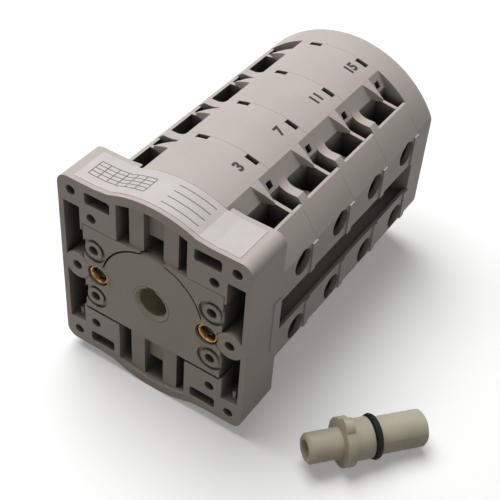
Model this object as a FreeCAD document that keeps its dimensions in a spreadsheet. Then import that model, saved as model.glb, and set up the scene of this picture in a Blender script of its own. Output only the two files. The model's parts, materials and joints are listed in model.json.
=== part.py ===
import FreeCAD, Part
import math
import os
import re
import Sketcher

# Rotary cam switch, four contact stages, off and on, lying on its side.
# Units are millimetres. +X is right and +Z is up, seen from the front, and +Y runs to the rear.
# The origin is on the rotor's axis, in the plane of the front face.

STAGES = 4
DRAFT_RADIUS = 9.0
SPRING_RUNS = 8
RING_FACETS = 8

SIZES = [
    ("block_width", 56.2),
    ("block_height", 55.8),
    ("block_depth", 14.0),
    ("block_corner", 3.2),
    ("bulge_width", 25.0),
    ("bulge_blend", 4.0),
    ("body_radius", 31.0),
    ("body_flats", 54.6),
    ("stage_pitch", 18.05),
    ("stage_overlap", 1.4),
    ("cover_depth", 10.4),
    ("cover_round", 2.4),
    ("cover_corner", 3.0),
    ("seam_step", 0.06),
    ("fit_gap", 0.15),
    ("free_gap", 0.4),
    ("run_gap", 0.08),
    ("corner_pitch", 48.0),
    ("inner_pitch", 36.0),
    ("pilot_hole", 2.8),
    ("pilot_depth", 9.0),
    ("slot_width", 7.6),
    ("slot_height", 3.6),
    ("slot_centre_x", 16.0),
    ("slot_centre_z", 23.7),
    ("slot_depth", 7.0),
    ("slot_corner", 0.8),
    ("pocket_wall", 1.6),
    ("pocket_width", 4.9),
    ("pocket_height", 20.0),
    ("pocket_depth", 11.0),
    ("gusset_width", 1.0),
    ("gusset_height", 2.4),
    ("gusset_setback", 2.0),
    ("lobe_x", 23.2),
    ("lobe_radius", 4.0),
    ("pad_height", 17.0),
    ("pad_length", 3.3),
    ("pad_rise", 0.3),
    ("throat_width", 20.6),
    ("rim_wall", 2.7),
    ("index_width", 41.6),
    ("index_top", 15.1),
    ("index_bottom", 13.0),
    ("index_groove", 0.8),
    ("disc_radius", 15.0),
    ("disc_groove", 0.5),
    ("disc_groove_depth", 2.4),
    ("front_wall", 2.8),
    ("finger_width", 4.3),
    ("finger_outer", 7.2),
    ("finger_setback", 1.1),
    ("finger_recess", 2.3),
    ("well_depth", 7.5),
    ("well_length", 4.0),
    ("arm_end", 1.2),
    ("boss_x", 17.7),
    ("boss_z", 7.85),
    ("boss_ring", 5.2),
    ("boss_recess", 7.4),
    ("boss_recess_depth", 0.8),
    ("tie_x", 16.6),
    ("tie_shank", 3.9),
    ("tie_head", 5.6),
    ("tie_head_height", 2.6),
    ("tie_setback", 0.4),
    ("tie_slot", 1.1),
    ("tie_recess", 3.6),
    ("tie_recess_depth", 1.6),
    ("tie_ring", 7.7),
    ("tie_ring_rise", 0.25),
    ("nut_flats", 7.0),
    ("nut_height", 3.2),
    ("nut_setback", 1.0),
    ("partition", 1.5),
    ("top_wall", 2.4),
    ("chamber_radius", 9.3),
    ("window_top_x", 12.0),
    ("window_edge_x", 21.8),
    ("panel_foot_x", 14.9),
    ("panel_drop", 4.0),
    ("rib_rise", 1.5),
    ("rib_slope", 1.8),
    ("rib_setback", 0.8),
    ("rib_width", 2.9),
    ("well_wall_x", 21.0),
    ("guide_front", 9.8),
    ("guide_width", 3.2),
    ("guide_tip", 1.4),
    ("guide_tip_shift", 1.9),
    ("guide_end_shift", 3.1),
    ("small_well_step", 2.3),
    ("notch_length", 2.0),
    ("notch_height", 2.6),
    ("notch_depth", 3.2),
    ("notch_setback", 1.1),
    ("lip_depth", 0.9),
    ("channel_height", 10.0),
    ("channel_depth", 5.4),
    ("channel_undercut", 1.6),
    ("eyelet_low", 8.4),
    ("eyelet_high", 14.9),
    ("eyelet_front", 8.9),
    ("eyelet_length", 7.0),
    ("eyelet_wall", 1.6),
    ("eyelet_cell", 3.8),
    ("eyelet_round", 4.0),
    ("cell_drop", 0.9),
    ("ledge_high", 14.6),
    ("ledge_rise", 0.45),
    ("latch_width", 3.5),
    ("latch_length", 1.6),
    ("latch_right", 7.6),
    ("latch_left", 6.9),
    ("latch_depth", 3.6),
    ("contact_plane", 7.8),
    ("strip_width", 5.0),
    ("strip_thick", 1.2),
    ("strip_seat_z", 13.3),
    ("strip_inner_x", 6.9),
    ("strip_outer_x", 20.6),
    ("tip_length", 3.2),
    ("tip_thick", 0.6),
    ("screw_x", 17.95),
    ("screw_head", 5.4),
    ("screw_head_height", 2.3),
    ("screw_shank", 2.9),
    ("screw_length", 4.0),
    ("clamp_size", 5.4),
    ("clamp_thick", 1.1),
    ("hub_radius", 5.35),
    ("flange_radius", 7.6),
    ("flange_thick", 1.4),
    ("socket_diameter", 8.2),
    ("socket_floor", 1.25),
    ("socket_leadin", 0.75),
    ("key_width", 2.7),
    ("key_reach", 5.2),
    ("shaft_square", 6.0),
    ("journal_radius", 3.0),
    ("journal_length", 4.5),
    ("star_radius", 9.5),
    ("star_thick", 5.0),
    ("star_room", 1.2),
    ("star_notch", 1.7),
    ("star_notch_half", 3.0),
    ("leaf_thick", 0.5),
    ("leaf_width", 4.4),
    ("leaf_half_length", 11.2),
    ("leaf_height", 11.4),
    ("cam_radius", 8.2),
    ("cam_width", 7.6),
    ("cam_hub_radius", 5.3),
    ("travel", 2.5),
    ("turn_angle", 90.0),
    ("cam_margin", 10.0),
    ("cam_gap", 0.3),
    ("carrier_width", 10.0),
    ("carrier_drop", 2.2),
    ("carrier_foot", 1.7),
    ("nose_radius", 1.2),
    ("bridge_half_length", 10.1),
    ("bridge_thick", 1.2),
    ("contact_gap", 2.8),
    ("spring_diameter", 6.0),
    ("spring_wire", 0.55),
    ("spring_coils", 3.5),
    ("spring_seat", 0.9),
    ("label_width", 47.4),
    ("label_front", 1.2),
    ("label_thick", 0.12),
    ("plug_length", 9.0),
    ("plug_bore", 4.6),
    ("plug_bore_depth", 6.5),
    ("collar_diameter", 12.8),
    ("collar_length", 2.4),
    ("neck_diameter", 10.6),
    ("neck_length", 5.4),
    ("ring_wire", 2.0),
    ("ring_seat_diameter", 7.8),
    ("tail_diameter", 9.6),
    ("tail_length", 12.8),
    ("tail_flats", 8.4),
    ("ear_width", 5.0),
    ("ear_rise", 1.5),
    ("shaft_bevel", 0.6),
    ("shaft_x", 45.7),
    ("shaft_y", 1.8),
    ("shaft_turn", 38.0),
]

NAMES = {name for name, number in SIZES}
WORD = re.compile(r"[a-z][a-z0-9_]*")
X_AXIS = FreeCAD.Vector(1, 0, 0)
Y_AXIS = FreeCAD.Vector(0, 1, 0)
Z_AXIS = FreeCAD.Vector(0, 0, 1)

doc = FreeCAD.newDocument("cam_switch")
sheet = doc.addObject("Spreadsheet::Sheet", "Sizes")
for row, (name, number) in enumerate(SIZES, start=1):
    sheet.set(f"A{row}", name)
    sheet.set(f"B{row}", str(number))
    sheet.setAlias(f"B{row}", name)
doc.recompute()

parts = []


# Helpers: a size as a number, and a formula as an expression on the sheet's cells

def size(name):
    return float(sheet.get(name))


def bind(thing, prop, formula):
    thing.setExpression(prop, WORD.sub(lambda m: "Sizes." + m[0] if m[0] in NAMES else m[0], str(formula)))


def place(thing, x=0, y=0, z=0, axis=None, angle=0):
    if axis is not None:
        thing.Placement = FreeCAD.Placement(FreeCAD.Vector(), FreeCAD.Rotation(axis, angle))
    for key, formula in (("x", x), ("y", y), ("z", z)):
        bind(thing, "Placement.Base." + key, formula)
    return thing


def box(x, y, z):
    """A box from its two limits on each axis."""
    solid = doc.addObject("Part::Box", "Block")
    bind(solid, "Length", f"({x[1]}) - ({x[0]})")
    bind(solid, "Width", f"({y[1]}) - ({y[0]})")
    bind(solid, "Height", f"({z[1]}) - ({z[0]})")
    return place(solid, x[0], y[0], z[0])


def rod(radius, y, x=0, z=0):
    """A round bar along Y."""
    solid = doc.addObject("Part::Cylinder", "Rod")
    bind(solid, "Radius", radius)
    bind(solid, "Height", f"({y[1]}) - ({y[0]})")
    return place(solid, x, y[0], z, X_AXIS, -90)


def post(radius, z, x=0, y=0):
    """A round bar along Z."""
    solid = doc.addObject("Part::Cylinder", "Post")
    bind(solid, "Radius", radius)
    bind(solid, "Height", f"({z[1]}) - ({z[0]})")
    return place(solid, x, y, z[0])


def outline(points):
    """A closed sketch of straight lines whose corners are bound to formulas."""
    sketch = doc.addObject("Sketcher::SketchObject", "Outline")
    count = len(points)
    angles = [math.tau * i / count for i in range(count)]
    turn = [FreeCAD.Vector(math.cos(angle), math.sin(angle), 0) * DRAFT_RADIUS for angle in angles]
    for i in range(count):
        sketch.addGeometry(Part.LineSegment(turn[i], turn[(i + 1) % count]), False)
    for i in range(count):
        sketch.addConstraint(Sketcher.Constraint("Coincident", i, 2, (i + 1) % count, 1))
    for i, (across, up) in enumerate(points):
        for kind, formula, start in (("DistanceX", across, turn[i].x), ("DistanceY", up, turn[i].y)):
            index = sketch.addConstraint(Sketcher.Constraint(kind, -1, 1, i, 1, start))
            bind(sketch, f"Constraints[{index}]", formula)
    return sketch


def extrude(sketch, direction, length):
    solid = doc.addObject("Part::Extrusion", "Prism")
    solid.Base = sketch
    solid.DirMode = "Custom"
    solid.Dir = direction
    solid.Solid = True
    bind(solid, "LengthFwd", length)
    return solid


def prism(points, y):
    """A prism along Y over an outline given as X, Z."""
    sketch = place(outline(points), 0, y[0], 0, X_AXIS, 90)
    return extrude(sketch, Y_AXIS, f"({y[1]}) - ({y[0]})")


def plan(points, z):
    """A prism along Z over an outline given as X, Y."""
    return extrude(place(outline(points), 0, 0, z[0]), Z_AXIS, f"({z[1]}) - ({z[0]})")


def turned(points, x=0, y=0, z=0, axis="Y"):
    """A turned solid over an outline given as radius, height along its axis."""
    sketch = outline(points)
    solid = doc.addObject("Part::Revolution", "Turned")
    solid.Source = sketch
    solid.Axis = Y_AXIS
    solid.Solid = True
    solid.Angle = 360
    return place(solid, x, y, z, X_AXIS, 90 if axis == "Z" else 0)


def fuse(*solids):
    whole = doc.addObject("Part::MultiFuse", "Fused")
    whole.Shapes = list(solids)
    return whole


def common(*solids):
    shared = doc.addObject("Part::MultiCommon", "Shared")
    shared.Shapes = list(solids)
    return shared


def cut(base, *tools):
    rest = doc.addObject("Part::Cut", "Cut")
    rest.Base = base
    rest.Tool = tools[0] if len(tools) == 1 else fuse(*tools)
    return rest


def mirrored(source, normal):
    image = doc.addObject("Part::Mirroring", "Image")
    image.Source = source
    image.Normal = normal
    return image


def both_sides(solid):
    return fuse(solid, mirrored(solid, X_AXIS))


def four_corners(solid):
    half = both_sides(solid)
    return fuse(half, mirrored(half, Z_AXIS))


def group(*solids):
    """Identical separate pieces that share one node."""
    bundle = doc.addObject("Part::Compound", "Group")
    bundle.Links = list(solids)
    return bundle


def rounded(solid, radius, wanted):
    """The edges that the test picks, rounded."""
    doc.recompute()
    soft = doc.addObject("Part::Fillet", "Rounded")
    soft.Base = solid
    soft.Edges = [(i, radius, radius) for i, edge in enumerate(solid.Shape.Edges, start=1) if wanted(edge)]
    return soft


def along_y(edge):
    start, end = edge.firstVertex().Point, edge.lastVertex().Point
    return abs(start.x - end.x) + abs(start.z - end.z) < 1e-6 and abs(start.y - end.y) > 1e-6


def upper_front(solid):
    """A test for the edge along X where the upper face meets the front one."""
    reach = solid.Shape.BoundBox

    def wanted(edge):
        span = edge.BoundBox
        return abs(span.YMax - reach.YMin) < 1e-6 and abs(span.ZMin - reach.ZMax) < 1e-6

    return wanted


def finish(solid, label):
    """The finished piece under its own name."""
    solid.Label = label
    parts.append(solid)
    return solid


# Places along the axis

body_front = "(block_depth - stage_overlap)"
body_rear = f"({body_front} + {STAGES} * stage_pitch)"
cover_rear = f"({body_rear} + cover_depth)"
nut_seat = f"({cover_rear} - nut_height - nut_setback)"
half_flats = "(body_flats / 2)"
tie_hole = "(tie_shank / 2 + fit_gap)"
head_hole = "(tie_head / 2 + fit_gap)"
head_seat = "(tie_setback + tie_head_height)"
screw_room = "(screw_shank / 2 + fit_gap)"

# Heights of the upper contacts above the axis, in the off position

strip_top = "(strip_seat_z + strip_thick)"
bridge_low = f"({strip_top} + 2 * tip_thick + contact_gap)"
bridge_high = f"({bridge_low} + bridge_thick)"
spring_low = f"({bridge_high} + spring_seat)"
spring_high = "(body_radius - top_wall)"
carrier_top = f"({spring_high} - carrier_drop)"
nose_low = "(cam_radius + cam_gap)"

# Heights of the terminal windows above the axis

shoulder_top = "sqrt(body_radius ^ 2 - window_top_x ^ 2)"
panel_foot_z = f"({shoulder_top} - panel_drop)"
window_edge_z = "sqrt(body_radius ^ 2 - window_edge_x ^ 2)"
rib_top = f"({window_edge_z} + rib_rise)"
small_well_floor = "(strip_seat_z + small_well_step)"


def body_disc(y, shrink="0"):
    """A slice of the round body with its two flats."""
    radius = f"body_radius - {shrink}"
    side = f"{half_flats} - {shrink}"
    return common(rod(radius, y), box((f"-({side})", side), y, (f"-({radius})", radius)))


# Front frame: a square block with bulged top and bottom, corner blocks, side pockets and lobes

def bulged_block(y, grow="0"):
    """The square block with its bulges and the slopes beside them, grown all round if asked."""
    side = f"(block_width / 2 + {grow})"
    flat = f"(block_height / 2 + {grow})"
    crown = f"(body_radius + {grow})"
    edge = "bulge_width / 2"
    edge_height = f"sqrt(body_radius ^ 2 - ({edge}) ^ 2) + {grow}"
    foot = f"{edge} + bulge_blend"
    square = rounded(box((f"-{side}", side), y, (f"-{flat}", flat)), size("block_corner"), along_y)
    bulge = common(rod(crown, y), box((f"-{edge}", edge), y, (f"-{crown}", crown)))
    slope = prism([("0", "0"), (foot, "0"), (foot, flat), (edge, edge_height), ("0", edge_height)], y)
    return fuse(square, bulge, four_corners(slope))


def front_frame():
    length = ("0", "block_depth")
    pad = box(("block_width / 2 - 1", "block_width / 2 + pad_rise"),
              ("block_depth - pad_length", "block_depth"), ("-pad_height / 2", "pad_height / 2"))
    block = fuse(bulged_block(length), both_sides(pad))

    inside = ("-1", "block_depth + 1")
    opening = box(("-index_width / 2 - fit_gap", "index_width / 2 + fit_gap"), inside,
                  ("-index_bottom - index_groove", "index_top + fit_gap"))
    throat = common(rod("body_radius - rim_wall", inside),
                    box(("-throat_width / 2", "throat_width / 2"), inside, ("-body_radius", "body_radius")))
    outer = "block_width / 2 - pocket_wall"
    deep = ("-1", "pocket_depth")
    pocket = box((f"{outer} - pocket_width", outer), deep, ("0", "pocket_height"))
    wide = box(("index_width / 2 - 1", outer), deep, ("0", "index_bottom"))
    stack_seat = body_disc((body_front, "block_depth + 1"), "(-fit_gap)")
    block = cut(block, opening, throat, four_corners(fuse(pocket, wide)), stack_seat)

    solid_length = ("0", body_front)
    lobe = common(rod("lobe_radius", solid_length, "lobe_x"),
                  box(("lobe_x - lobe_radius", outer), solid_length, ("-lobe_radius", "lobe_radius")))
    gusset_middle = f"{outer} - pocket_width * 0.45"
    gusset = box((f"{gusset_middle} - gusset_width / 2", f"{gusset_middle} + gusset_width / 2"),
                 ("gusset_setback", "pocket_depth + 1"),
                 ("-pocket_height - 1", "-pocket_height + gusset_height"))
    block = fuse(block, both_sides(lobe), both_sides(gusset))

    hole = ("-1", "pilot_depth")
    bore = "pilot_hole / 2"
    slot = box(("slot_centre_x - slot_width / 2", "slot_centre_x + slot_width / 2"), ("-1", "slot_depth"),
               ("slot_centre_z - slot_height / 2", "slot_centre_z + slot_height / 2"))
    slot = rounded(slot, size("slot_corner"), along_y)
    corner = rod(bore, hole, "corner_pitch / 2", "corner_pitch / 2")
    inner = rod(bore, hole, "inner_pitch / 2", "inner_pitch / 2")
    in_corners = four_corners(fuse(slot, corner, inner))
    head_room = rod(head_hole, ("-1", head_seat), "tie_x")
    at_sides = both_sides(fuse(rod(bore, hole, "lobe_x"), head_room))
    finish(cut(block, in_corners, at_sides), "front_frame")


# Index housing: the round face, its wings with screw bosses, and the upper and lower arms

def index_housing():
    rear = f"{body_front} - fit_gap"
    length = ("0", rear)
    plate = box(("-index_width / 2", "index_width / 2"), length, ("-index_bottom", "index_top"))
    arm_width = ("-finger_outer", "finger_outer")
    reach = "body_radius - rim_wall - fit_gap"
    arms = common(rod(reach, ("finger_setback", rear)),
                  box(arm_width, ("finger_setback", rear), (f"-({reach})", reach)))
    ring = rod("tie_ring / 2", ("-tie_ring_rise", "1"), "tie_x")
    housing = fuse(plate, arms, both_sides(ring))
    housing = cut(housing, both_sides(rod("lobe_radius + fit_gap", ("-1", "block_depth"), "lobe_x")))

    groove_ring = cut(rod("disc_radius + disc_groove", ("-1", "disc_groove_depth")),
                      rod("disc_radius", ("-2", "disc_groove_depth + 1")))
    upper_half = box(("-body_radius", "body_radius"), ("-2", "block_depth"), ("tie_ring / 2", "body_radius"))
    ring_keep = both_sides(rod("tie_ring / 2", ("-3", "block_depth"), "tie_x"))
    groove = cut(common(groove_ring, upper_half), ring_keep)

    valley = "finger_outer - finger_width"
    floor = "finger_setback + finger_recess"
    between = (f"-({valley})", valley)
    recess = box(between, ("-1", floor), ("disc_radius", "body_radius"))
    well_top = box(between, ("-1", "well_depth"), ("disc_radius", "disc_radius + well_length"))
    low_end = f"{reach} - well_length - arm_end"
    well_low = box(between, ("-1", "well_depth"), (f"-({reach}) - 1", f"-({low_end})"))
    boss_cut = cut(rod("boss_recess / 2", ("-1", "boss_recess_depth"), "boss_x", "boss_z"),
                   rod("boss_ring / 2", ("-2", "boss_recess_depth + 1"), "boss_x", "boss_z"))
    boss_hole = rod("pilot_hole / 2", ("-1", "pilot_depth"), "boss_x", "boss_z")
    tie_bore = fuse(rod(tie_hole, ("-1", "block_depth"), "tie_x"), rod(head_hole, ("-1", head_seat), "tie_x"))
    behind = ("front_wall", "block_depth")
    spring_room = box(("-leaf_half_length - fit_gap", "leaf_half_length + fit_gap"), behind,
                      ("star_radius", "leaf_height + leaf_thick + fit_gap"))
    hollow = fuse(rod("star_radius + star_room", behind), spring_room, mirrored(spring_room, Z_AXIS),
                  rod("hub_radius + run_gap", ("-1", "block_depth")))
    housing = cut(housing, groove, recess, mirrored(recess, Z_AXIS), well_top, well_low,
                  four_corners(fuse(boss_cut, boss_hole)), both_sides(tie_bore), hollow)
    finish(housing, "index_housing")


# Rotor: socketed hub, retaining flange, square shaft through the stages and rear journal

def rotor():
    flange = ("front_wall + fit_gap", "front_wall + fit_gap + flange_thick")
    hub_end = f"({body_front} - fit_gap)"
    socket_end = f"({hub_end} - socket_floor)"
    rear = f"({body_rear} - fit_gap)"
    body = fuse(rod("hub_radius", ("-0.05", hub_end)), rod("flange_radius", flange),
                box(("-shaft_square / 2", "shaft_square / 2"), (f"{hub_end} - 0.5", rear),
                    ("-shaft_square / 2", "shaft_square / 2")),
                rod("journal_radius", (f"{rear} - 1", f"{body_rear} + journal_length")))
    radius = "socket_diameter / 2"
    leadin = turned([("0", "-1"), (f"{radius} + socket_leadin + 1", "-1"), (radius, "socket_leadin"),
                     ("0", "socket_leadin")])
    key = box(("-key_width / 2", "key_width / 2"), ("-1", socket_end), ("0", "key_reach"))
    finish(cut(body, rod(radius, ("-1", socket_end)), leadin, key), "rotor")


# Star wheel with four notches, and the two leaf springs that rest in them

def star_wheel():
    start = "front_wall + fit_gap + flange_thick"
    span = (start, f"{start} + star_thick")
    wide = (f"{start} - 1", f"{start} + star_thick + 1")
    wheel = cut(rod("star_radius", span), rod("hub_radius + fit_gap / 3", wide))
    reach = "star_radius + 0.4"
    foot = "star_radius - star_notch"
    vee = [("-star_notch_half", reach), ("0", foot), ("star_notch_half", reach)]
    side = [(up, across) for across, up in vee]
    notches = []
    for points, normal in ((vee, Z_AXIS), (side, X_AXIS)):
        notch = prism(points, wide)
        notches += [notch, mirrored(notch, normal)]
    finish(cut(wheel, *notches), "star_wheel")

    nose = "star_radius - star_notch + free_gap"
    low = ["leaf_height", nose]
    points = [("-leaf_half_length", low[0]), ("-star_notch_half", low[0]), ("0", low[1]),
              ("star_notch_half", low[0]), ("leaf_half_length", low[0])]
    under = [(x, z) for x, z in points]
    over = [(x, f"{z} + leaf_thick") for x, z in reversed(points)]
    middle = f"{start} + star_thick / 2"
    leaf = prism(under + over, (f"{middle} - leaf_width / 2", f"{middle} + leaf_width / 2"))
    finish(group(leaf, mirrored(leaf, Z_AXIS)), "index_springs")


# Stage housing: a moulded ring with four terminal windows, side channels and eyelets

def window_cutters(front):
    """Everything cut out of one shoulder, for the upper right one."""
    rear = f"({front} + stage_pitch)"
    whole = (f"{front} - 1", f"{rear} + 1")
    high = "body_radius + 2"
    shoulder = prism([("window_top_x", high), ("window_top_x", shoulder_top),
                      ("panel_foot_x", panel_foot_z), ("panel_foot_x + rib_slope", rib_top),
                      ("body_radius", rib_top), ("body_radius", high)], whole)
    edge = box(("panel_foot_x", "window_edge_x"), whole, (window_edge_z, high))
    rib_front = f"{front} + rib_setback"
    rib_rear = f"{front} + rib_setback + rib_width"
    inner_x = "window_top_x - 1"
    bend_x = "(window_top_x + window_edge_x) / 2 + 1"
    outer_x = "window_edge_x + 1"
    guide_start = f"{front} + guide_front"
    guide_end = f"{guide_start} + guide_end_shift"
    guide = plan([(inner_x, guide_start), ("window_top_x", guide_start),
                  (bend_x, f"{guide_start} + guide_tip_shift"), (outer_x, guide_end),
                  (outer_x, f"{guide_end} + guide_tip"), (bend_x, f"{guide_start} + guide_width"),
                  (inner_x, f"{guide_start} + guide_width")], ("strip_seat_z - 2", "body_radius + 3"))
    rib = box((inner_x, "body_radius"), (rib_front, rib_rear), ("strip_seat_z - 2", rib_top))
    wells = box(("panel_foot_x", "well_wall_x"), whole, ("strip_seat_z", high))
    fill = box(("panel_foot_x - 1", "well_wall_x + 1"),
               (f"{guide_start} + guide_tip_shift - 0.4", f"{rear} + 2"),
               ("strip_seat_z - 1", small_well_floor))
    open_space = cut(fuse(shoulder, edge, wells), guide, rib, fill)
    panel_middle = "(window_top_x + panel_foot_x) / 2"
    notch_end = f"{rear} - notch_setback"
    notch = box((f"{panel_middle} - notch_depth", f"{panel_middle} + 0.9"),
                (f"{notch_end} - notch_length", notch_end),
                (f"{panel_foot_z} - 0.3", f"{panel_foot_z} - 0.3 + notch_height"))
    middle = f"{front} + contact_plane"
    screw_hole = screw_well(middle, ("strip_seat_z - screw_length - 0.5", "strip_seat_z + 1"))
    return fuse(open_space, notch, screw_hole)


def screw_well(middle, z):
    """A square hole around the terminal screw's shank."""
    return box((f"screw_x - {screw_room}", f"screw_x + {screw_room}"),
               (f"{middle} - {screw_room}", f"{middle} + {screw_room}"), z)


def side_cutters(front):
    """The side channel and the eyelets above and below it, for the right side."""
    rear = f"({front} + stage_pitch)"
    whole = (f"{front} - 1", f"{rear} + 1")
    lip = f"{half_flats} - lip_depth"
    half = "channel_height / 2"
    mouth = box((f"{lip} - 0.1", f"{half_flats} + 2"), whole, (f"-{half}", half))
    channel = box((f"{lip} - channel_depth", lip), whole,
                  (f"-{half} - channel_undercut", f"{half} + channel_undercut"))
    wall = f"{half_flats} - eyelet_wall"
    start = f"{front} + eyelet_front"
    eyelet = box((f"{wall} - 0.1", f"{half_flats} + 2"), (start, f"{start} + eyelet_length"),
                 ("eyelet_low", "eyelet_high"))
    doc.recompute()
    eyelet = rounded(eyelet, size("eyelet_round"), upper_front(eyelet))
    cell = box((f"{wall} - eyelet_cell", wall), (f"{start} - 1", f"{start} + eyelet_length + 0.8"),
               ("eyelet_low - cell_drop", "eyelet_high + 0.2"))
    eye = fuse(eyelet, cell)
    return fuse(mouth, channel, eye, mirrored(eye, Z_AXIS))


def stage_housing(number):
    front = f"({body_front} + {number - 1} * stage_pitch)"
    rear = f"({front} + stage_pitch)"
    body = fuse(body_disc((f"{front} + seam_step", rear)), body_disc((front, f"{front} + 1"), "seam_step"))
    eyelet_end = f"{front} + eyelet_front + eyelet_length"
    ledge = box((f"{half_flats} - 1.5", f"{half_flats} + ledge_rise"), (eyelet_end, rear),
                ("channel_height / 2", "ledge_high"))
    body = fuse(body, four_corners(ledge))
    outside = fuse(four_corners(window_cutters(front)), both_sides(side_cutters(front)))

    inside = (f"{front} + partition", f"{rear} + 1")
    carrier_room = box(("-carrier_width / 2 - free_gap", "carrier_width / 2 + free_gap"), inside,
                       (f"-{spring_high}", spring_high))
    bridge_room = box(("-bridge_half_length - 1.4", "bridge_half_length + 1.4"), inside,
                      ("strip_seat_z", f"{bridge_high} + free_gap"))
    seat = box(("strip_inner_x - 1", "strip_outer_x + fit_gap"),
               (f"{front} + contact_plane - strip_width / 2 - fit_gap", f"{rear} + 1"),
               ("strip_seat_z", "strip_seat_z + strip_thick + fit_gap"))
    seats = four_corners(seat)
    latch_end = (f"{rear} - latch_length", f"{rear} + 1")
    latch_deep = ("body_radius - latch_depth", "body_radius + 1")
    latches = []
    for middle in ("latch_right", "-latch_left"):
        across = (f"{middle} - latch_width / 2", f"{middle} + latch_width / 2")
        latches.append(box(across, latch_end, latch_deep))
    whole = (f"{front} - 1", f"{rear} + 1")
    tie_bores = both_sides(rod(tie_hole, whole, "tie_x"))
    hollow = fuse(rod("chamber_radius", inside), rod("cam_hub_radius + free_gap", whole), carrier_room,
                  bridge_room, mirrored(bridge_room, Z_AXIS), seats, tie_bores, *latches)
    finish(cut(body, outside, hollow), f"stage_housing_{number}")


# Rear cover: a closed disc of the body's outline with a bearing for the rotor

def rear_cover():
    cover = fuse(body_disc((f"{body_rear} + seam_step", cover_rear)),
                 body_disc((body_rear, f"{body_rear} + 1"), "seam_step"))
    cover = rounded(cover, size("cover_corner"), along_y)
    last = size("block_depth") - size("stage_overlap") + STAGES * size("stage_pitch") + size("cover_depth")
    cover = rounded(cover, size("cover_round"), lambda edge: abs(edge.BoundBox.YMin - last) < 1e-6)
    high = "body_radius + 2"
    before = f"{body_rear} - 1"
    notch = prism([("window_top_x", high), ("window_top_x", shoulder_top), ("panel_foot_x", panel_foot_z),
                   ("panel_foot_x", small_well_floor), ("well_wall_x", small_well_floor),
                   ("well_wall_x", window_edge_z), ("window_edge_x", window_edge_z), ("window_edge_x", high)],
                  (before, f"{body_rear} + rib_setback"))
    bearing = rod("journal_radius + run_gap", (before, f"{body_rear} + journal_length + free_gap"))
    bolt = rod(tie_hole, (before, f"{cover_rear} + 1"), "tie_x")
    nut_room = rod("nut_flats / sqrt(3) + fit_gap", (nut_seat, f"{cover_rear} + 1"), "tie_x")
    finish(cut(cover, four_corners(notch), bearing, both_sides(fuse(bolt, nut_room))), "rear_cover")


# Tie screws from the index housing to the rear cover, and their nuts

def tie_screws():
    start = "tie_setback"
    end = f"{cover_rear} - 0.6"
    head = rod("tie_head / 2", (start, head_seat), "tie_x")
    shank = rod("tie_shank / 2", (f"{start} + 1", end), "tie_x")
    deep = ("0", f"{start} + tie_recess_depth")
    long = ("-tie_recess / 2", "tie_recess / 2")
    narrow = ("-tie_slot / 2", "tie_slot / 2")
    cross = fuse(box(long, deep, narrow), box(narrow, deep, long))
    bind(cross, "Placement.Base.x", "tie_x")
    screw = cut(fuse(head, shank), cross)
    finish(group(screw, mirrored(screw, X_AXIS)), "tie_screws")


def tie_nuts():
    hexagon = doc.addObject("Part::Prism", "Nut")
    hexagon.Polygon = 6
    bind(hexagon, "Circumradius", "nut_flats / sqrt(3)")
    bind(hexagon, "Height", "nut_height")
    place(hexagon, "tie_x", nut_seat, 0, X_AXIS, -90)
    bore = rod("tie_shank / 2 + fit_gap / 3", (f"{nut_seat} - 1", f"{nut_seat} + nut_height + 1"), "tie_x")
    nut = cut(hexagon, bore)
    finish(group(nut, mirrored(nut, X_AXIS)), "tie_nuts")


# Cams: a spiral lobe for each of the two followers, on a square-bored hub

def cam_face():
    """The cam's outline in arcs: the radius falls evenly over the turn, then rises again."""
    turn = size("turn_angle")
    slope = size("travel") / turn
    margin = size("cam_margin")
    top = size("cam_radius") + slope * margin
    foot = size("cam_radius") - slope * (turn + margin)
    stretch = (turn + 2 * margin) / 4
    half = 180

    def spot(degrees, radius):
        angle = math.radians(degrees)
        return FreeCAD.Vector(radius * math.sin(angle), 0, radius * math.cos(angle))

    edges = []
    for start in (0, half):
        fall = [spot(start + margin - step * stretch, top - slope * step * stretch) for step in range(5)]
        middle = start + (half - turn) / 2
        rise = [spot(start + margin, top), spot(middle, (top + foot) / 2),
                spot(start + half - turn - margin, foot)]
        for arc in (fall[4:1:-1], fall[2::-1], rise):
            edges.append(Part.Arc(*arc).toShape())
    return Part.Face(Part.Wire(Part.sortEdges(edges)[0]))


def cam(number):
    front = size("block_depth") - size("stage_overlap") + (number - 1) * size("stage_pitch")
    middle = front + size("contact_plane")
    lobe = cam_face().extrude(FreeCAD.Vector(0, size("cam_width"), 0))
    lobe.translate(FreeCAD.Vector(0, middle - size("cam_width") / 2, 0))
    gap = size("fit_gap")
    start = FreeCAD.Vector(0, front + gap / 2, 0)
    hub = Part.makeCylinder(size("cam_hub_radius"), size("stage_pitch") - gap, start, Y_AXIS)
    side = size("shaft_square") + gap
    bore = Part.makeBox(side, size("stage_pitch") + 2, side, FreeCAD.Vector(-side / 2, front - 1, -side / 2))
    solid = doc.addObject("Part::Feature", "Cam")
    solid.Shape = lobe.fuse(hub).cut(bore)
    finish(solid, f"cam_{number}")


# Contacts: two for each stage, above and below the cam

def upper_and_lower(build, number, label):
    front = f"({body_front} + {number - 1} * stage_pitch)"
    upper = build(front)
    lower = mirrored(build(front), Z_AXIS)
    finish(upper, f"{label}_{2 * number - 1}")
    finish(lower, f"{label}_{2 * number}")


def bridge_bar(front, gap="0"):
    middle = f"{front} + contact_plane"
    return box((f"-bridge_half_length - {gap}", f"bridge_half_length + {gap}"),
               (f"{middle} - strip_width / 2 - {gap}", f"{middle} + strip_width / 2 + {gap}"),
               (f"{bridge_low} - {gap}", f"{bridge_high} + {gap}"))


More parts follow.
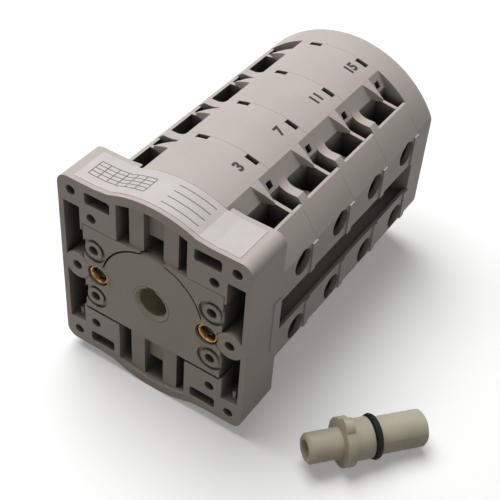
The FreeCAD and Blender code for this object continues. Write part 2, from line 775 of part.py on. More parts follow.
def contact_carrier(front):
    """The follower: a nose on the cam, a slot for the bridge and a seat for the spring."""
    middle = f"{front} + contact_plane"
    width = ("-carrier_width / 2", "carrier_width / 2")
    length = (f"{front} + partition + free_gap", f"{front} + stage_pitch - free_gap")
    block = box(width, length, (f"{nose_low} + carrier_foot", carrier_top))
    nose_span = (f"{middle} - cam_width / 2", f"{middle} + cam_width / 2")
    nose = rod("nose_radius", nose_span, 0, f"{nose_low} + nose_radius")
    neck = box(("-nose_radius", "nose_radius"), nose_span,
               (f"{nose_low} + nose_radius", f"{nose_low} + carrier_foot + 1"))
    room = "spring_diameter / 2 + fit_gap"
    pocket = box((f"-({room})", room), (f"{middle} - ({room})", f"{middle} + {room}"),
                 (spring_low, f"{carrier_top} + 1"))
    return cut(fuse(block, nose, neck), bridge_bar(front, "fit_gap"), pocket)


def contact_tip(middle, z):
    return box(("strip_inner_x", "strip_inner_x + tip_length"),
               (f"{middle} - tip_length / 2", f"{middle} + tip_length / 2"), z)


def contact_bridge(front):
    """A bar with a contact tip under each end."""
    middle = f"{front} + contact_plane"
    tip = contact_tip(middle, (f"{bridge_low} - tip_thick", f"{bridge_low} + 0.2"))
    return fuse(bridge_bar(front), both_sides(tip))


def coil_solid():
    """A coil of square wire about Z, standing on z = 0, with straight runs from corner to corner."""
    wire = size("spring_wire")
    radius = (size("spring_diameter") - wire) / 2
    bridge_top = (size("strip_seat_z") + size("strip_thick") + 2 * size("tip_thick") + size("contact_gap")
                  + size("bridge_thick"))
    room = size("body_radius") - size("top_wall") - bridge_top - size("spring_seat")
    height = room - size("fit_gap") - 1.2 * wire
    count = round(SPRING_RUNS * size("spring_coils"))
    lift = wire * 0.55
    corners = []
    for step in range(count + 1):
        angle = math.tau * step / SPRING_RUNS
        corners.append(FreeCAD.Vector(radius * math.cos(angle), radius * math.sin(angle),
                                      lift + height * step / count))
    along = (corners[1] - corners[0]).normalize()
    side = along.cross(Z_AXIS).normalize()
    out = side * (wire / 2)
    up = side.cross(along).normalize() * (wire / 2)
    ends = [corners[0] + out + up, corners[0] - out + up, corners[0] - out - up, corners[0] + out - up]
    section = Part.makePolygon(ends + ends[:1])
    mitred = 1
    return Part.makePolygon(corners).makePipeShell([section], True, False, mitred)


def contact_spring(front):
    """A coil between the carrier's seat and the wall of the housing."""
    solid = doc.addObject("Part::Feature", "Coil")
    solid.Shape = coil_solid()
    return place(solid, 0, f"{front} + contact_plane", f"{spring_low} + fit_gap / 2")


def fixed_contacts(number):
    """Four forked strips, each from a terminal to a contact tip."""
    front = f"({body_front} + {number - 1} * stage_pitch)"
    middle = f"{front} + contact_plane"
    width = (f"{middle} - strip_width / 2", f"{middle} + strip_width / 2")
    strip = box(("strip_inner_x", "strip_outer_x"), width, ("strip_seat_z", strip_top))
    tip = contact_tip(middle, (f"{strip_top} - 0.2", f"{strip_top} + tip_thick"))
    fork = box((f"screw_x - {screw_room}", "strip_outer_x + 1"),
               (f"{middle} - {screw_room}", f"{middle} + {screw_room}"),
               ("strip_seat_z - 1", f"{strip_top} + 1"))
    four_of(cut(fuse(strip, tip), fork), f"fixed_contacts_{number}")


def four_of(solid, label):
    right_low = mirrored(solid, Z_AXIS)
    finish(group(solid, mirrored(solid, X_AXIS), right_low, mirrored(right_low, X_AXIS)), label)


def terminal_clamps(number):
    """Square wire clamps under the terminal screws."""
    middle = f"{body_front} + {number - 1} * stage_pitch + contact_plane"
    half = "clamp_size / 2"
    plate = box((f"screw_x - {half}", f"screw_x + {half}"), (f"{middle} - {half}", f"{middle} + {half}"),
                (strip_top, f"{strip_top} + clamp_thick"))
    hole = screw_well(middle, (f"{strip_top} - 1", f"{strip_top} + 3"))
    four_of(cut(plate, hole), f"terminal_clamps_{number}")


def terminal_screws(number):
    middle = f"{body_front} + {number - 1} * stage_pitch + contact_plane"
    seat = f"{strip_top} + clamp_thick"
    head = post("screw_head / 2", (seat, f"{seat} + screw_head_height"), "screw_x", middle)
    shank = post("screw_shank / 2", ("strip_seat_z - screw_length", f"{seat} + 0.5"), "screw_x", middle)
    slot = box(("screw_x - screw_head", "screw_x + screw_head"), (f"{middle} - 0.5", f"{middle} + 0.5"),
               (f"{seat} + screw_head_height * 0.5", f"{seat} + screw_head_height + 1"))
    four_of(cut(fuse(head, shank), slot), f"terminal_screws_{number}")


# Rating label: a thin sheet over the top of the front block, bulge and all

def rating_label():
    length = ("label_front", f"{body_front} - fit_gap")
    half = "label_width / 2"
    sheet_room = box((f"-{half}", half), length, ("0", "body_radius + block_height"))
    over = common(bulged_block(length, "label_thick"), sheet_room)
    finish(cut(over, bulged_block(("0", "block_depth"))), "rating_label")


# Coupling shaft and its seal ring, lying beside the switch on the surface that it lies on

def coupling_shaft():
    collar = "(plug_length + collar_length)"
    neck = f"({collar} + neck_length)"
    tail = f"({neck} + ring_wire + 2 * fit_gap)"
    end = f"({tail} + tail_length)"
    plug_radius = "(socket_diameter / 2 - fit_gap)"
    bevel = "shaft_bevel"
    collar_radius = "collar_diameter / 2"
    neck_radius = "neck_diameter / 2"
    ring_seat = "ring_seat_diameter / 2"
    tail_radius = "tail_diameter / 2"
    profile = [("0", "0"), (f"{plug_radius} - {bevel}", "0"), (plug_radius, bevel),
               (plug_radius, "plug_length"), (collar_radius, "plug_length"), (collar_radius, collar),
               (neck_radius, collar), (neck_radius, neck), (ring_seat, neck), (ring_seat, tail),
               (tail_radius, tail), (tail_radius, f"{end} - {bevel}"), (f"{tail_radius} - {bevel}", end),
               ("0", end)]
    ear = rod("ear_width / 2", ("plug_length", collar), 0, f"{collar_radius} + ear_rise - ear_width / 2")
    shaft = fuse(turned(profile), ear)
    bore = rod("plug_bore / 2", ("-1", "plug_bore_depth"))
    side = box(("tail_flats / 2", "tail_diameter"), (tail, f"{end} + 1"), ("-tail_diameter", "tail_diameter"))
    shaft = cut(shaft, bore, both_sides(side))
    section = []
    for step in range(RING_FACETS):
        across = math.cos(math.tau * step / RING_FACETS)
        along = math.sin(math.tau * step / RING_FACETS)
        section.append((f"{ring_seat} + ring_wire / 2 * (1 + ({across:.4f}))",
                        f"{neck} + fit_gap + ring_wire / 2 * (1 + ({along:.4f}))"))
    ring = turned(section)
    lay_down(finish(shaft, "coupling_shaft"))
    lay_down(finish(group(ring), "shaft_o_ring"))


def shaft_rest():
    """The shaft lies on its collar and on the end of its tail, nose up a little."""
    collar_end = size("plug_length") + size("collar_length")
    end = collar_end + size("neck_length") + size("ring_wire") + 2 * size("fit_gap") + size("tail_length")
    high = size("collar_diameter") / 2
    drop = high - size("tail_diameter") / 2
    lean = math.atan2(drop, end - collar_end)
    height = collar_end * math.sin(lean) + high * math.cos(lean) - size("body_radius")
    turn = FreeCAD.Rotation(Z_AXIS, -size("shaft_turn")) * FreeCAD.Rotation(X_AXIS, -math.degrees(lean))
    return FreeCAD.Placement(FreeCAD.Vector(size("shaft_x"), size("shaft_y"), height), turn)


def lay_down(solid):
    solid.Placement = shaft_rest()


front_frame()
index_housing()
rotor()
star_wheel()
for stage in range(1, STAGES + 1):
    stage_housing(stage)
    cam(stage)
    upper_and_lower(contact_carrier, stage, "contact_carrier")
    upper_and_lower(contact_bridge, stage, "contact_bridge")
    upper_and_lower(contact_spring, stage, "contact_spring")
    fixed_contacts(stage)
    terminal_clamps(stage)
    terminal_screws(stage)
rear_cover()
tie_screws()
tie_nuts()
rating_label()
coupling_shaft()
doc.recompute()

failed = [f"{thing.Label}: {thing.getStatusString()}" for thing in doc.Objects
          if "Invalid" in thing.State or "Error" in thing.State]
if failed:
    raise RuntimeError("features that failed: " + ", ".join(failed))
os.makedirs("parts", exist_ok=True)
for part in parts:
    if part.Shape.isNull() or not part.Shape.isValid():
        raise RuntimeError("bad shape: " + part.Label)
    part.Shape.exportStep(f"parts/{part.Label}.step")
    print(part.Label, len(part.Shape.Solids), round(part.Shape.Volume, 1))
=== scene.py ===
import json
import math

import bmesh
import bpy
from mathutils import Matrix, Vector


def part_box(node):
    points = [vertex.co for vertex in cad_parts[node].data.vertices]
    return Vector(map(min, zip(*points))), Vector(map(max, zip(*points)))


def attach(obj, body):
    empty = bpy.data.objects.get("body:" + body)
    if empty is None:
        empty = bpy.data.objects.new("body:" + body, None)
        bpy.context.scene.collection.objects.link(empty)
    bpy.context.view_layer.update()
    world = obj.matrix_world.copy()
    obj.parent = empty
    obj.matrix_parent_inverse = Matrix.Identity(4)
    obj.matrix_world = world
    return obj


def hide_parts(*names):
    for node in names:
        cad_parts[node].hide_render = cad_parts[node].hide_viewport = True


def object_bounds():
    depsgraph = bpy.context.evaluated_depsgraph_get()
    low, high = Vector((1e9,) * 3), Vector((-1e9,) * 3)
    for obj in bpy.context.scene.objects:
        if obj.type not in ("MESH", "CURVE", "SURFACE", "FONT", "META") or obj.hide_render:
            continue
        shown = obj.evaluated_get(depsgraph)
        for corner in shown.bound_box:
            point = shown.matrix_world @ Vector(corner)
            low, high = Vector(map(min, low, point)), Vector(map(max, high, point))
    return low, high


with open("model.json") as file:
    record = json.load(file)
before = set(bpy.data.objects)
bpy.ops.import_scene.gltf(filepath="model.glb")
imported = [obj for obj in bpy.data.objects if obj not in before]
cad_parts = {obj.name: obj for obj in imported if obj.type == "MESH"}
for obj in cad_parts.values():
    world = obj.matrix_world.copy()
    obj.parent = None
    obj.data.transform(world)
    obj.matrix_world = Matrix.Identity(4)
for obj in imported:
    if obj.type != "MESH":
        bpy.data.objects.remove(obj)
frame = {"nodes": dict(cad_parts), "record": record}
CAD_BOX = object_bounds()

# Rotary cam switch on its side, with its coupling shaft beside it.
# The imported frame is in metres: +X right, +Y to the rear, +Z up, the front face at y = 0.
# Sizes of forms are in millimetres, and MM turns them into metres.

MM = 0.001
STAGES = 4

# Places on the switch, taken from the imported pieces
FLOOR_Z = CAD_BOX[0][2]
TOP_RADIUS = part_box("stage_housing_1")[1][2]
BODY_RADIUS = TOP_RADIUS / MM
STAGE_FRONT = [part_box(f"stage_housing_{n}")[0][1] / MM for n in range(1, STAGES + 1)]
TIE_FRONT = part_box("tie_screws")[0][1] / MM

# Colours as seen in plain light
GREY_MOULDING = (191, 183, 175)
GREY_INDEX = (186, 180, 168)
OLIVE_NYLON = (172, 166, 146)
NATURAL_NYLON = (222, 218, 206)
SHAFT_NYLON = (200, 194, 173)
BLACK_MOULDING = (38, 36, 34)
CONTACT_BRASS = (190, 150, 92)
TIE_BRONZE = (196, 152, 104)
PLATED_STEEL = (150, 146, 138)
SPRING_STEEL = (170, 170, 170)
LABEL_FILM = (209, 202, 198)
PRINT_INK = (44, 38, 36)
SEAL_BLACK = (13, 12, 10)
# Painted shade: a brown darkening for the insides of pockets and hollows
PAINTED_SHADE_BROWN = (44, 37, 29)
WHITE = (255, 255, 255)
BLACK = (0, 0, 0)


# Shader maths

class Field:
    """A value, colour or vector inside a material: sums on fields add their own nodes."""

    def __init__(self, tree, socket=None):
        self.tree = tree
        self.socket = socket

    def node(self, kind, settings, inputs, output=0):
        """Adds one node: its settings first, then the values or links of its sockets."""
        made = self.tree.nodes.new(kind)
        for name, value in settings.items():
            setattr(made, name, value)
        for name, value in inputs.items():
            if isinstance(value, Field):
                self.tree.links.new(value.socket, made.inputs[name])
            else:
                made.inputs[name].default_value = value
        return Field(self.tree, made.outputs[output])

    def maths(self, operation, *others):
        return self.node("ShaderNodeMath", {"operation": operation}, dict(enumerate((self, *others))))

    def __add__(self, other):
        return self.maths("ADD", other)

    def __sub__(self, other):
        return self.maths("SUBTRACT", other)

    def __rsub__(self, other):
        return self.maths("MULTIPLY_ADD", -1, other)

    def __mul__(self, other):
        return self.maths("MULTIPLY", other)

    __radd__ = __add__

    def place(self):
        """Where a point of the piece is, in millimetres."""
        at = self.node("ShaderNodeTexCoord", {}, {}, "Object")
        return at.node("ShaderNodeVectorMath", {"operation": "SCALE"}, {"Vector": at, "Scale": 1 / MM})

    def along(self, axis):
        return self.node("ShaderNodeSeparateXYZ", {}, {"Vector": self}, axis)

    def stretched(self, x, y, z):
        """The same place with each axis scaled, for streaks."""
        return self.node("ShaderNodeMapping", {}, {"Vector": self, "Scale": (x, y, z)})

    def noise(self, scale, detail=2.0, rough=0.5):
        """Soft noise from 0 to 1, with scale as the number of its spots to a millimetre."""
        return self.node("ShaderNodeTexNoise", {}, {"Vector": self, "Scale": scale, "Detail": detail,
                                                    "Roughness": rough}, "Fac")

    def ramp(self, low, high):
        """0 below low, 1 above high and even between."""
        return self.node("ShaderNodeMapRange", {"clamp": True},
                         {"Value": self, "From Min": low, "From Max": high, "To Min": 0.0, "To Max": 1.0})

    def blend(self, first, second):
        """The first colour where this is 0, the second where it is 1."""
        return self.node("ShaderNodeMix", {"data_type": "RGBA"}, {0: self, 6: first, 7: second}, 2)

    def bump(self, strength, depth):
        """A surface that this height roughens, with its depth in millimetres."""
        sizes = {"Strength": strength, "Distance": depth * MM}
        return self.node("ShaderNodeBump", {}, {"Height": self, **sizes})

    def crevice(self, reach):
        """1 deep in corners and holes and 0 out in the open, looking as far as reach in millimetres."""
        open_air = self.node("ShaderNodeAmbientOcclusion", {"samples": 8}, {"Distance": reach * MM}, "AO")
        return 1 - open_air

    def seen_directly(self):
        """1 for rays from the camera, in a reflection or through a clear piece, and 0 for falling light."""
        camera_ray, glossy_ray, clear_ray = (
            self.node("ShaderNodeLightPath", {}, {}, ray)
            for ray in ("Is Camera Ray", "Is Glossy Ray", "Is Transmission Ray"))
        return camera_ray.maths("MAXIMUM", glossy_ray).maths("MAXIMUM", clear_ray)


def paint(red, green, blue):
    """A colour written as on a screen, in the linear light that the shader takes."""
    linear = [(level / 255 / 12.92) if level < 10 else ((level / 255 + 0.055) / 1.055) ** 2.4
              for level in (red, green, blue)]
    return (*linear, 1.0)


def toned(colour, factor):
    """The same colour, lighter or darker."""
    return tuple(min(255, level * factor) for level in colour)


def material(constants, varying):
    """A finish: its constants sit on the shader's own sockets, and varying says what changes over it."""
    made = bpy.data.materials.new("finish")
    made.use_nodes = True
    shader = made.node_tree.nodes["Principled BSDF"]
    for socket, value in constants.items():
        shader.inputs[socket].default_value = value
    for socket, field in varying(Field(made.node_tree)).items():
        made.node_tree.links.new(field.socket, shader.inputs[socket])
    return made


# Finishes

# How far the painted shade in pockets and in hollows looks for closed-in room, in millimetres
POCKET_REACH = 14
HOLLOW_REACH = 4


def moulded_plastic(colour, pockets=0.0, gloss=0.46, grain=0.08):
    """Moulded plastic: soft mottling, fine grain from the tool, and painted brown shade deep in its
    pockets.
    """
    def varying(start):
        at = start.place()
        mottle = at.noise(scale=0.07, detail=3.0) * 0.6 + at.noise(scale=0.9) * 0.4
        base = mottle.ramp(0.3, 0.7).blend(paint(*toned(colour, 0.972)), paint(*toned(colour, 1.02)))
        if pockets:
            # Painted shade: brown darkening where a point is closed in by the walls of its pocket
            pocket_shade = start.crevice(POCKET_REACH).ramp(0.40, 0.80) * pockets
            base = pocket_shade.blend(base, paint(*PAINTED_SHADE_BROWN))
        texture = at.noise(scale=3.2, detail=3.0, rough=0.6) * 0.6 + at.noise(scale=0.8) * 0.4
        return {"Base Color": base,
                "Roughness": gloss + at.noise(scale=0.5, detail=3.0) * 0.12,
                "Normal": texture.bump(grain, depth=0.1)}
    return material({"Specular IOR Level": 0.42}, varying)


def nylon(colour, cloudy):
    """Unfilled nylon: light passes a little way into it, and it looks cloudy."""
    def varying(start):
        at = start.place()
        cloud = at.noise(scale=0.16, detail=3.0)
        return {"Base Color": cloud.ramp(0.3, 0.7).blend(paint(*colour), paint(*toned(colour, cloudy))),
                "Roughness": 0.30 + at.noise(scale=0.8) * 0.16,
                "Normal": at.noise(scale=1.4).bump(0.06, depth=0.15)}
    scatter = {"Subsurface Weight": 0.7, "Subsurface Radius": (1.0, 0.9, 0.7), "Subsurface Scale": 3.0 * MM}
    return material(scatter, varying)


def metal(colour, tarnish, rough=0.35, patches=0.5, hollows=0.0):
    """Stamped or turned metal with fine lines, tarnish in patches and painted brown shade down in its
    hollows.
    """
    def varying(start):
        at = start.place()
        stain = at.noise(scale=patches, detail=4.0, rough=0.6).ramp(0.38, 0.68)
        base = stain.blend(paint(*colour), paint(*toned(colour, tarnish)))
        if hollows:
            # Painted shade: brown darkening down in the hollows, such as the screw cups
            hollow_shade = start.crevice(HOLLOW_REACH).ramp(0.22, 0.5) * hollows
            base = hollow_shade.blend(base, paint(*PAINTED_SHADE_BROWN))
        lines = at.stretched(0.4, 6.0, 6.0).noise(scale=2.0)
        return {"Base Color": base,
                "Roughness": rough + stain * 0.22,
                "Normal": lines.bump(0.08, depth=0.05)}
    return material({"Metallic": 1.0}, varying)


def rubber(colour):
    """Dull moulded rubber with paler rubbed spots."""
    def varying(start):
        at = start.place()
        rubbed = at.noise(scale=0.7, detail=3.0).ramp(0.3, 0.8)
        return {"Base Color": rubbed.blend(paint(*colour), paint(*toned(colour, 1.6))),
                "Roughness": 0.55 + at.noise(scale=1.5) * 0.2,
                "Normal": at.noise(scale=2.5).bump(0.1, depth=0.1)}
    return material({"Specular IOR Level": 0.2}, varying)


# Label: a plain ruled table and some ruled lines, with nothing written in them

TABLE_X = (-21.5, -5.0)
TABLE_Y = (3.9, 9.3)
TABLE_COLUMNS = 6
TABLE_ROWS = 4
NOTE_X = (0.5, 11.0)
NOTE_LINES = (3.2, 5.6, 8.0, 10.4)
RULE_WIDTH = 0.24
RULE_BLUR = 0.08


def spread(low, high, count):
    """Evenly spaced values from low to high."""
    return [low + (high - low) * step / count for step in range(count + 1)]


def ruled(at, axis, lines):
    """1 on each of the given lines across an axis and 0 between them."""
    marked = None
    for line in lines:
        off = (at.along(axis) - line).maths("ABSOLUTE")
        edge = RULE_WIDTH / 2 - 0.02
        stroke = 1 - off.ramp(edge, edge + RULE_BLUR)
        marked = stroke if marked is None else marked.maths("MAXIMUM", stroke)
    return marked


def within(at, axis, low, high):
    """1 between two places on an axis."""
    across_it = at.along(axis)
    return across_it.maths("GREATER_THAN", low) * across_it.maths("LESS_THAN", high)


def label_film():
    """White film with its rules printed on it."""
    def varying(start):
        at = start.place()
        columns = ruled(at, "X", spread(*TABLE_X, TABLE_COLUMNS)) * within(at, "Y", *TABLE_Y)
        rows = ruled(at, "Y", spread(*TABLE_Y, TABLE_ROWS)) * within(at, "X", *TABLE_X)
        notes = ruled(at, "Y", NOTE_LINES) * within(at, "X", *NOTE_X)
        ink = columns.maths("MAXIMUM", rows).maths("MAXIMUM", notes) * 0.85
        worn = at.noise(scale=0.2, detail=3.0).ramp(0.3, 0.7)
        film = worn.blend(paint(*LABEL_FILM), paint(*toned(LABEL_FILM, 0.965)))
        return {"Base Color": ink.blend(film, paint(*PRINT_INK)),
                "Roughness": 0.4 + at.noise(scale=0.6) * 0.1,
                "Normal": at.noise(scale=0.5).bump(0.05, depth=0.1)}
    return material({"Specular IOR Level": 0.4}, varying)


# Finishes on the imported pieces

FINISHES = {
    "housing_grey": moulded_plastic(GREY_MOULDING, pockets=0.9),
    "index_grey": moulded_plastic(GREY_INDEX, pockets=0.9),
    "carrier_black": moulded_plastic(BLACK_MOULDING, gloss=0.4),
    "rotor_nylon": nylon(OLIVE_NYLON, cloudy=0.9),
    "cam_nylon": nylon(NATURAL_NYLON, cloudy=0.93),
    "shaft_nylon": nylon(SHAFT_NYLON, cloudy=0.93),
    "contact_brass": metal(CONTACT_BRASS, tarnish=0.6),
    "tie_brass": metal(TIE_BRONZE, tarnish=0.45, rough=0.28, patches=0.9, hollows=0.9),
    "terminal_steel": metal(PLATED_STEEL, tarnish=0.55),
    "spring_steel": metal(SPRING_STEEL, tarnish=0.7, rough=0.25),
    "seal_rubber": rubber(SEAL_BLACK),
    "label_white": label_film(),
    "print_ink": moulded_plastic(PRINT_INK, grain=0.02),
}
for slot, finish in FINISHES.items():
    finish.name = slot

SLOT_OF = {row["node"]: row["material_slot"] for row in frame["record"]["subparts"]}
BODY_OF = {node: body for body, nodes in frame["record"]["behaviour"]["bodies"].items() for node in nodes}

for name, node in frame["nodes"].items():
    node.data.materials.clear()
    node.data.materials.append(FINISHES[SLOT_OF[name]])


# Objects and pieces

MERGE = 0.001 * MM
FLAT = math.radians(0.5)
CREASE = math.radians(24)


def object_from(bm, name):
    """An object at the origin, with its place in its mesh."""
    mesh = bpy.data.meshes.new(name)
    bm.to_mesh(mesh)
    bm.free()
    made = bpy.data.objects.new(name, mesh)
    bpy.context.scene.collection.objects.link(made)
    return made


def piece_from(bm, name, body, finish):
    """A finished piece that rides on a body."""
    piece = object_from(bm, name)
    piece.data.materials.append(finish)
    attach(piece, body)
    return piece


def softened(node, name, radius, steps=()):
    """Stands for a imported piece: its form after the steps, with its edges rounded."""
    bm = bmesh.new()
    bm.from_mesh(combined(node, steps))
    bmesh.ops.remove_doubles(bm, verts=bm.verts, dist=MERGE)
    bmesh.ops.dissolve_limit(bm, angle_limit=FLAT, verts=bm.verts, edges=bm.edges)
    for face in bm.faces:
        face.smooth = True
    for edge in bm.edges:
        edge.smooth = edge.calc_face_angle(0) < CREASE
    piece = piece_from(bm, name, BODY_OF[node], FINISHES[SLOT_OF[node]])
    edges = piece.modifiers.new("rounded_edges", "BEVEL")
    edges.width = radius * MM
    edges.segments = 2
    edges.limit_method = "ANGLE"
    edges.angle_limit = CREASE
    edges.use_clamp_overlap = True
    edges.miter_outer = "MITER_ARC"
    flat = piece.modifiers.new("flat_faces", "WEIGHTED_NORMAL")
    flat.keep_sharp = True
    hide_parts(node)


def combined(node, steps):
    """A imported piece's mesh with helpers cut from it or joined to it, one after the other."""
    base = bpy.data.objects.new("base", frame["nodes"][node].data.copy())
    bpy.context.scene.collection.objects.link(base)
    for operation, helper in steps:
        step = base.modifiers.new(operation, "BOOLEAN")
        step.operation = operation
        step.solver = "EXACT"
        step.object = helper
    done = base.evaluated_get(bpy.context.evaluated_depsgraph_get())
    mesh = bpy.data.meshes.new_from_object(done)
    for used in [base] + [helper for operation, helper in steps]:
        bpy.data.objects.remove(used)
    return mesh


# Helpers that a piece is cut with or joined to, from rings of vertices

def outline_ring(bm, places):
    """A closed ring of edges through places in millimetres."""
    corners = [bm.verts.new(Vector(place) * MM) for place in places]
    return [bm.edges.new((corners[step - 1], corners[step])) for step in range(len(corners))]


def round_ring(bm, centre, across_turn, radius, sides):
    """A closed round ring of edges, with its centre and radius in millimetres."""
    place = Matrix.Translation(Vector(centre) * MM) @ across_turn
    drawn = bmesh.ops.create_circle(bm, segments=sides, radius=radius * MM, matrix=place)
    return list({edge for corner in drawn["verts"] for edge in corner.link_edges})


def skinned(bm, rings):
    """Joins each ring to the next."""
    for near, far in zip(rings, rings[1:]):
        bmesh.ops.bridge_loops(bm, edges=near + far)


def helper_from(bm, name, front, mirrors):
    """A closed helper object, with its y counted from front and a mirrored copy across each named axis."""
    bmesh.ops.holes_fill(bm, edges=bm.edges[:], sides=0)
    bmesh.ops.translate(bm, verts=bm.verts, vec=(0, front * MM, 0))
    for axis in mirrors:
        bmesh.ops.mirror(bm, geom=bm.verts[:] + bm.edges[:] + bm.faces[:], axis=axis, merge_dist=MERGE)
    bmesh.ops.recalc_face_normals(bm, faces=bm.faces)
    return object_from(bm, name)


def across(x, near, far, low, top):
    """A four-sided cross-section of something that runs along x."""
    return ((x, near, low), (x, far, low), (x, far, top), (x, near, top))


# Tie screws: a turned rim around a cup, and room around the head, as depth behind its front and radius

TIE_X = 16.6
TIE_SIDES = 32
CUP = ((-1.0, 2.4), (0.0, 2.35), (0.6, 2.05), (2.1, 1.5))
HEAD_ROOM = ((-2.0, 3.2), (1.6, 3.2))
FACING_FRONT = Matrix.Rotation(math.radians(90), 4, "X")


def at_tie_screws(name, profile):
    bm = bmesh.new()
    skinned(bm, [round_ring(bm, (TIE_X, deep, 0), FACING_FRONT, radius, TIE_SIDES)
                 for deep, radius in profile])
    return helper_from(bm, name, TIE_FRONT, "X")


# Drive socket: its key notch runs out through the hub's front rim

NOTCH_X = (-1.35, 1.35)
NOTCH_Y = (-0.5, 2.6)
NOTCH_Z = (3.0, 6.6)


def key_notch():
    bm = bmesh.new()
    skinned(bm, [outline_ring(bm, across(x, *NOTCH_Y, *NOTCH_Z)) for x in NOTCH_X])
    return helper_from(bm, "notch", 0, "")


softened("tie_screws", "tie_screws_turned", 0.12, [("DIFFERENCE", at_tie_screws("cups", CUP))])
softened("front_frame", "front_frame_moulding", 0.3, [("DIFFERENCE", at_tie_screws("room", HEAD_ROOM))])
softened("index_housing", "index_housing_moulding", 0.2, [("DIFFERENCE", at_tie_screws("room", HEAD_ROOM))])
softened("rear_cover", "rear_cover_moulding", 0.25)
softened("rotor", "rotor_moulding", 0.15, [("DIFFERENCE", key_notch())])
softened("coupling_shaft", "coupling_shaft_moulding", 0.3)


# Stage corners, drawn for the upper right one, with y from the stage's front.
# Corners of an outline and ends of the bar are x and z; ends of the wedge are x, near y and far y.

ABOVE = 34.0
PANEL_TOP = (12.0, 28.62)
PANEL_FOOT = (14.9, 24.62)
WALL_X = 21.0
WALL_EDGE = (21.82, 22.06)
WELL_FLOOR = 14.7
WINDOW_Y = (9.0, 14.37)


def window(bm):
    """The room behind the rib, cleared for the wedge and the bar."""
    outline = ((PANEL_TOP[0], ABOVE), PANEL_TOP, PANEL_FOOT, (PANEL_FOOT[0], WELL_FLOOR),
               (WALL_X, WELL_FLOOR), (WALL_X, WALL_EDGE[1]), WALL_EDGE, (WALL_EDGE[0], ABOVE))
    skinned(bm, [outline_ring(bm, [(x, y, z) for x, z in outline]) for y in WINDOW_Y])


WEDGE_X = (11.4, 12.9, 14.4, 15.9, 17.9)
WEDGE_ROOT = (12.0, 10.0, 13.4)
WEDGE_TIP = (17.9, 11.95, 12.15)
WEDGE_FOOT = 24.45
INSIDE = 0.02


def round_top(x):
    """How high a form may reach at x and stay just inside the round body."""
    return math.sqrt(BODY_RADIUS ** 2 - x ** 2) - INSIDE


def wedge(bm):
    """A wedge that narrows to its tip while its top follows the round body."""
    def section(x):
        part = (x - WEDGE_ROOT[0]) / (WEDGE_TIP[0] - WEDGE_ROOT[0])
        near, far = (root + (tip - root) * part for root, tip in zip(WEDGE_ROOT[1:], WEDGE_TIP[1:]))
        return across(x, near, far, WEDGE_FOOT, round_top(x))
    skinned(bm, [outline_ring(bm, section(x)) for x in WEDGE_X])


BAR_ENDS = ((14.5, 23.0), (21.3, 22.1))
BAR_Y = (14.35, 15.45)


def bar(bm):
    """A low bar across the well, behind the wedge."""
    skinned(bm, [outline_ring(bm, across(x, *BAR_Y, WELL_FLOOR, top)) for x, top in BAR_ENDS])


RIB_X = (14.1, 14.6, 15.2, 15.9, 16.6, 17.4, 18.0)
RIB_NEAR = (0.5, 0.6, 0.7, 0.78, 0.82, 0.84, 0.84)
RIB_FAR = (4.5, 4.2, 3.95, 3.8, 3.72, 3.68, 3.66)
RIB_TOP = (25.7, 25.05, 24.5, 24.05, 23.78, 23.6, 23.56)
RIB_DEPTH = 20.0


def rib_foot(bm):
    """The rib's foot, wide and high at the panel, which flows down to the rib's own width and height."""
    skinned(bm, [outline_ring(bm, across(x, near, far, RIB_DEPTH, top))
                 for x, near, far, top in zip(RIB_X, RIB_NEAR, RIB_FAR, RIB_TOP)])


EYELET_Y = 12.2
EYELET_Z = 11.3
EYELET_RADIUS = 3.65
BORE_SIDES = 40
BORE_X = (25.52, 29.28)
PATCH_HALF = 4.2
PATCH_X = (25.72, 26.9, 27.1, 27.28)
FACING_SIDE = Matrix.Rotation(math.radians(90), 4, "Y")


def eyelet_patch(bm):
    """The side wall around the eyelet, whose top stays inside the round body."""
    def section(x):
        top = min(EYELET_Z + PATCH_HALF, round_top(x))
        return across(x, EYELET_Y - PATCH_HALF, EYELET_Y + PATCH_HALF, EYELET_Z - PATCH_HALF, top)
    skinned(bm, [outline_ring(bm, section(x)) for x in PATCH_X])


def eyelet_bore(bm):
    skinned(bm, [round_ring(bm, (x, EYELET_Y, EYELET_Z), FACING_SIDE, EYELET_RADIUS, BORE_SIDES)
                 for x in BORE_X])


CORNER_STEPS = (("DIFFERENCE", window), ("UNION", wedge), ("UNION", bar), ("UNION", rib_foot),
                ("UNION", eyelet_patch), ("DIFFERENCE", eyelet_bore))


def at_corners(form, front):
    """One helper object that holds the same form at the stage's four corners."""
    bm = bmesh.new()
    form(bm)
    return helper_from(bm, form.__name__, front, "XZ")


for stage, front in enumerate(STAGE_FRONT, start=1):
    softened(f"stage_housing_{stage}", f"stage_housing_moulding_{stage}", 0.2,
             [(operation, at_corners(form, front)) for operation, form in CORNER_STEPS])


# Printed terminal numbers on top of the stages

NUMBERS = ("3", "7", "11", "15")
NUMBER_HEIGHT = 4.1
NUMBER_WEIGHT = 0.045
NUMBER_Y = 12.7
NUMBER_ARC = 6.9
INK_THICK = 0.02


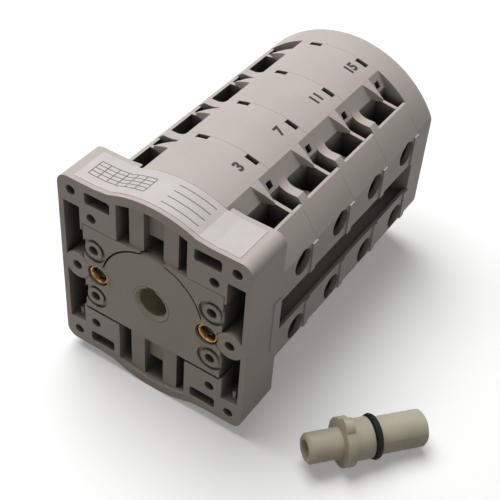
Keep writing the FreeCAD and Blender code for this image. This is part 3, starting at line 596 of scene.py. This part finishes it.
def printed_number(text, front):
    """A number on the round top, read from the right with its foot to the right."""
    curve = bpy.data.curves.new(f"number_{text}", "FONT")
    curve.body = text
    curve.size = NUMBER_HEIGHT * MM
    curve.align_x = "CENTER"
    curve.align_y = "CENTER"
    curve.extrude = INK_THICK * MM
    curve.offset = NUMBER_WEIGHT * NUMBER_HEIGHT * MM
    drawn = bpy.data.objects.new(f"number_{text}_outline", curve)
    bpy.context.scene.collection.objects.link(drawn)
    bpy.context.view_layer.update()
    mesh = bpy.data.meshes.new_from_object(drawn)
    bpy.data.objects.remove(drawn)
    on_top = Matrix.Translation((0, 0, TOP_RADIUS)) @ Matrix.Rotation(math.radians(90), 4, "Z")
    turned = Matrix.Rotation(NUMBER_ARC / BODY_RADIUS, 4, "Y") @ on_top
    mesh.transform(Matrix.Translation((0, (front + NUMBER_Y) * MM, 0)) @ turned)
    bm = bmesh.new()
    bm.from_mesh(mesh)
    bmesh.ops.remove_doubles(bm, verts=bm.verts, dist=MERGE)
    bmesh.ops.recalc_face_normals(bm, faces=bm.faces)
    piece_from(bm, f"number_{text}", "housing", FINISHES["print_ink"])


for text, front in zip(NUMBERS, STAGE_FRONT):
    printed_number(text, front)


# Floor

FLOOR_SEEN = (253, 253, 253)
FLOOR_LIFT = (124, 124, 124)
FLOOR_BOUNCE = (96, 92, 86)
FLOOR_FADE = (180, 420)
FLOOR_HALF = 3.0


def pale_floor():
    """A floor that looks white, more so far away, and gives back less light than white would."""
    def varying(start):
        at = start.place()
        seen = start.seen_directly()
        reach = (at.along("X") * at.along("X") + at.along("Y") * at.along("Y")).maths("SQRT")
        lift = reach.ramp(*FLOOR_FADE).blend(paint(*FLOOR_LIFT), paint(*WHITE))
        return {"Base Color": seen.blend(paint(*FLOOR_BOUNCE), paint(*FLOOR_SEEN)),
                "Emission Color": seen.blend(paint(*BLACK), lift)}
    matt = {"Roughness": 1.0, "Specular IOR Level": 0.0, "Emission Strength": 1.0}
    return material(matt, varying)


def floor_sheet():
    bm = bmesh.new()
    bmesh.ops.create_grid(bm, x_segments=1, y_segments=1, size=FLOOR_HALF,
                          matrix=Matrix.Translation((0, 0, FLOOR_Z)))
    sheet = object_from(bm, "floor")
    sheet.data.materials.append(pale_floor())


floor_sheet()


# Light, in metres and watts

def lamp(name, place, aim, size, watts, tint=(1.0, 1.0, 1.0)):
    light = bpy.data.lights.new(name, "AREA")
    light.shape = "RECTANGLE"
    light.size, light.size_y = size
    light.energy = watts
    light.color = tint
    hung = bpy.data.objects.new(name, light)
    hung.location = place
    hung.rotation_euler = (Vector(aim) - Vector(place)).to_track_quat("-Z", "Y").to_euler()
    bpy.context.scene.collection.objects.link(hung)


lamp("overhead", place=(-0.28, 0.14, 0.73), aim=(0.0, 0.045, 0.0), size=(0.6, 0.6), watts=6.3)
lamp("front_fill", place=(0.5, -0.8, 0.32), aim=(0.0, 0.0, 0.0), size=(0.8, 0.6), watts=1.05,
     tint=(1.0, 0.90, 0.76))

AIR_LIGHT = 0.09


def pale_air():
    """White all round to the eye, with a soft even light."""
    world = bpy.data.worlds.new("studio")
    world.use_nodes = True
    air = Field(world.node_tree)
    colour = air.seen_directly().blend((AIR_LIGHT, AIR_LIGHT, AIR_LIGHT, 1), paint(*WHITE))
    world.node_tree.links.new(colour.socket, world.node_tree.nodes["Background"].inputs["Color"])
    bpy.context.scene.world = world


pale_air()


# Camera, with its lens on a sensor 36 mm wide

VIEW_FROM = Vector((0.1119, -0.145267, 0.187745))
VIEW_RIGHT = Vector((0.831489, 0.552253, 0.060356))
VIEW_UP = Vector((-0.411904, 0.539953, 0.73402))
LENS = 77.04

lens = bpy.data.cameras.new("camera")
lens.lens = LENS
lens.clip_start = 0.01
camera = bpy.data.objects.new("camera", lens)
bpy.context.scene.collection.objects.link(camera)
view_axes = Matrix((VIEW_RIGHT, VIEW_UP, VIEW_RIGHT.cross(VIEW_UP))).transposed()
camera.matrix_world = Matrix.Translation(VIEW_FROM) @ view_axes.to_4x4()
bpy.context.scene.camera = camera
bpy.context.scene.view_settings.view_transform = "Standard"
